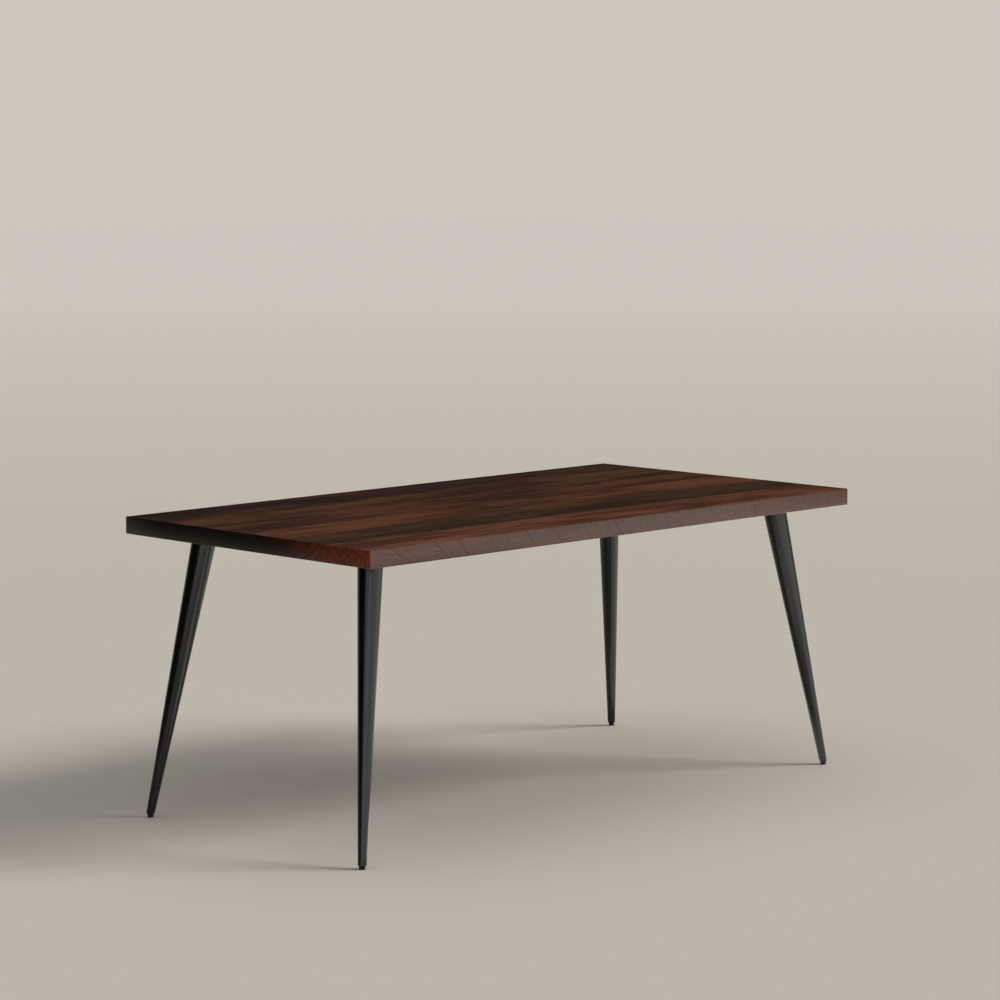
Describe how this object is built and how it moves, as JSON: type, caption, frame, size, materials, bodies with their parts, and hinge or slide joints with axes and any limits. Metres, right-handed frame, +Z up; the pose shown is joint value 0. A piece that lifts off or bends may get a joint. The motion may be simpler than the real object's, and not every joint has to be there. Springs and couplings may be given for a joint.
{
  "type": "butcher block table",
  "caption": "Rectangular dining table: a thick edge-glued hardwood top on round, tapered, splayed black steel legs with screw-in levelling feet.",
  "frame": {"origin": "on the floor, under the middle of the top", "axes": "+X along the length of the top (the grain), +Y across it, +Z up"},
  "size_m": [1.778, 0.914, 0.77],
  "materials": {
    "oiled_hardwood": "dark walnut stain under a satin lacquer",
    "powder_coated_steel": "fine satin black powder coat",
    "black_oxide_steel": "oiled black oxide",
    "zinc_plated_steel": "bright zinc plating",
    "yellow_zinc_steel": "yellow passivated zinc plating",
    "turned_steel": "as turned, oiled",
    "black_nylon": "moulded nylon"
  },
  "bodies": {
    "table": {"plank_1": "oiled_hardwood", "plank_2": "oiled_hardwood", "plank_3": "oiled_hardwood", "plank_4": "oiled_hardwood", "plank_5": "oiled_hardwood", "plank_6": "oiled_hardwood", "leg_tube_front_left": "powder_coated_steel", "leg_tube_front_right": "powder_coated_steel", "leg_tube_rear_right": "powder_coated_steel", "leg_tube_rear_left": "powder_coated_steel", "mount_plate_front_left": "powder_coated_steel", "mount_plate_front_right": "powder_coated_steel", "mount_plate_rear_right": "powder_coated_steel", "mount_plate_rear_left": "powder_coated_steel", "inserts_front_left": "yellow_zinc_steel", "inserts_front_right": "yellow_zinc_steel", "inserts_rear_right": "yellow_zinc_steel", "inserts_rear_left": "yellow_zinc_steel", "bolts_front_left": "black_oxide_steel", "bolts_front_right": "black_oxide_steel", "bolts_rear_right": "black_oxide_steel", "bolts_rear_left": "black_oxide_steel", "flat_washers_front_left": "zinc_plated_steel", "flat_washers_front_right": "zinc_plated_steel", "flat_washers_rear_right": "zinc_plated_steel", "flat_washers_rear_left": "zinc_plated_steel", "spring_washers_front_left": "zinc_plated_steel", "spring_washers_front_right": "zinc_plated_steel", "spring_washers_rear_right": "zinc_plated_steel", "spring_washers_rear_left": "zinc_plated_steel", "foot_plug_front_left": "turned_steel", "foot_plug_front_right": "turned_steel", "foot_plug_rear_right": "turned_steel", "foot_plug_rear_left": "turned_steel"},
    "foot_front_left": {"foot_pad_front_left": "black_nylon"},
    "screw_front_left": {"levelling_screw_front_left": "zinc_plated_steel"},
    "foot_front_right": {"foot_pad_front_right": "black_nylon"},
    "screw_front_right": {"levelling_screw_front_right": "zinc_plated_steel"},
    "foot_rear_right": {"foot_pad_rear_right": "black_nylon"},
    "screw_rear_right": {"levelling_screw_rear_right": "zinc_plated_steel"},
    "foot_rear_left": {"foot_pad_rear_left": "black_nylon"},
    "screw_rear_left": {"levelling_screw_rear_left": "zinc_plated_steel"}
  },
  "joints": [
    {"name": "foot_travel_front_left", "type": "slide", "parent": "table", "child": "foot_front_left", "axis": [0, 0, -1], "range_m": [0, 0.01]},
    {"name": "screw_turn_front_left", "type": "hinge", "parent": "foot_front_left", "child": "screw_front_left", "pos_m": [-0.86489, -0.399, 0.01], "axis": [0, 0, -1], "range_deg": [0, 3600]},
    {"name": "foot_travel_front_right", "type": "slide", "parent": "table", "child": "foot_front_right", "axis": [0, 0, -1], "range_m": [0, 0.01]},
    {"name": "screw_turn_front_right", "type": "hinge", "parent": "foot_front_right", "child": "screw_front_right", "pos_m": [0.86489, -0.399, 0.01], "axis": [0, 0, -1], "range_deg": [0, 3600]},
    {"name": "foot_travel_rear_right", "type": "slide", "parent": "table", "child": "foot_rear_right", "axis": [0, 0, -1], "range_m": [0, 0.01]},
    {"name": "screw_turn_rear_right", "type": "hinge", "parent": "foot_rear_right", "child": "screw_rear_right", "pos_m": [0.86489, 0.399, 0.01], "axis": [0, 0, -1], "range_deg": [0, 3600]},
    {"name": "foot_travel_rear_left", "type": "slide", "parent": "table", "child": "foot_rear_left", "axis": [0, 0, -1], "range_m": [0, 0.01]},
    {"name": "screw_turn_rear_left", "type": "hinge", "parent": "foot_rear_left", "child": "screw_rear_left", "pos_m": [-0.86489, 0.399, 0.01], "axis": [0, 0, -1], "range_deg": [0, 3600]}
  ],
  "couplings": [
    {"joint": "screw_turn_front_left", "follows": "foot_travel_front_left", "rad_per_m": 6283.2},
    {"joint": "screw_turn_front_right", "follows": "foot_travel_front_right", "rad_per_m": 6283.2},
    {"joint": "screw_turn_rear_right", "follows": "foot_travel_rear_right", "rad_per_m": 6283.2},
    {"joint": "screw_turn_rear_left", "follows": "foot_travel_rear_left", "rad_per_m": 6283.2}
  ]
}
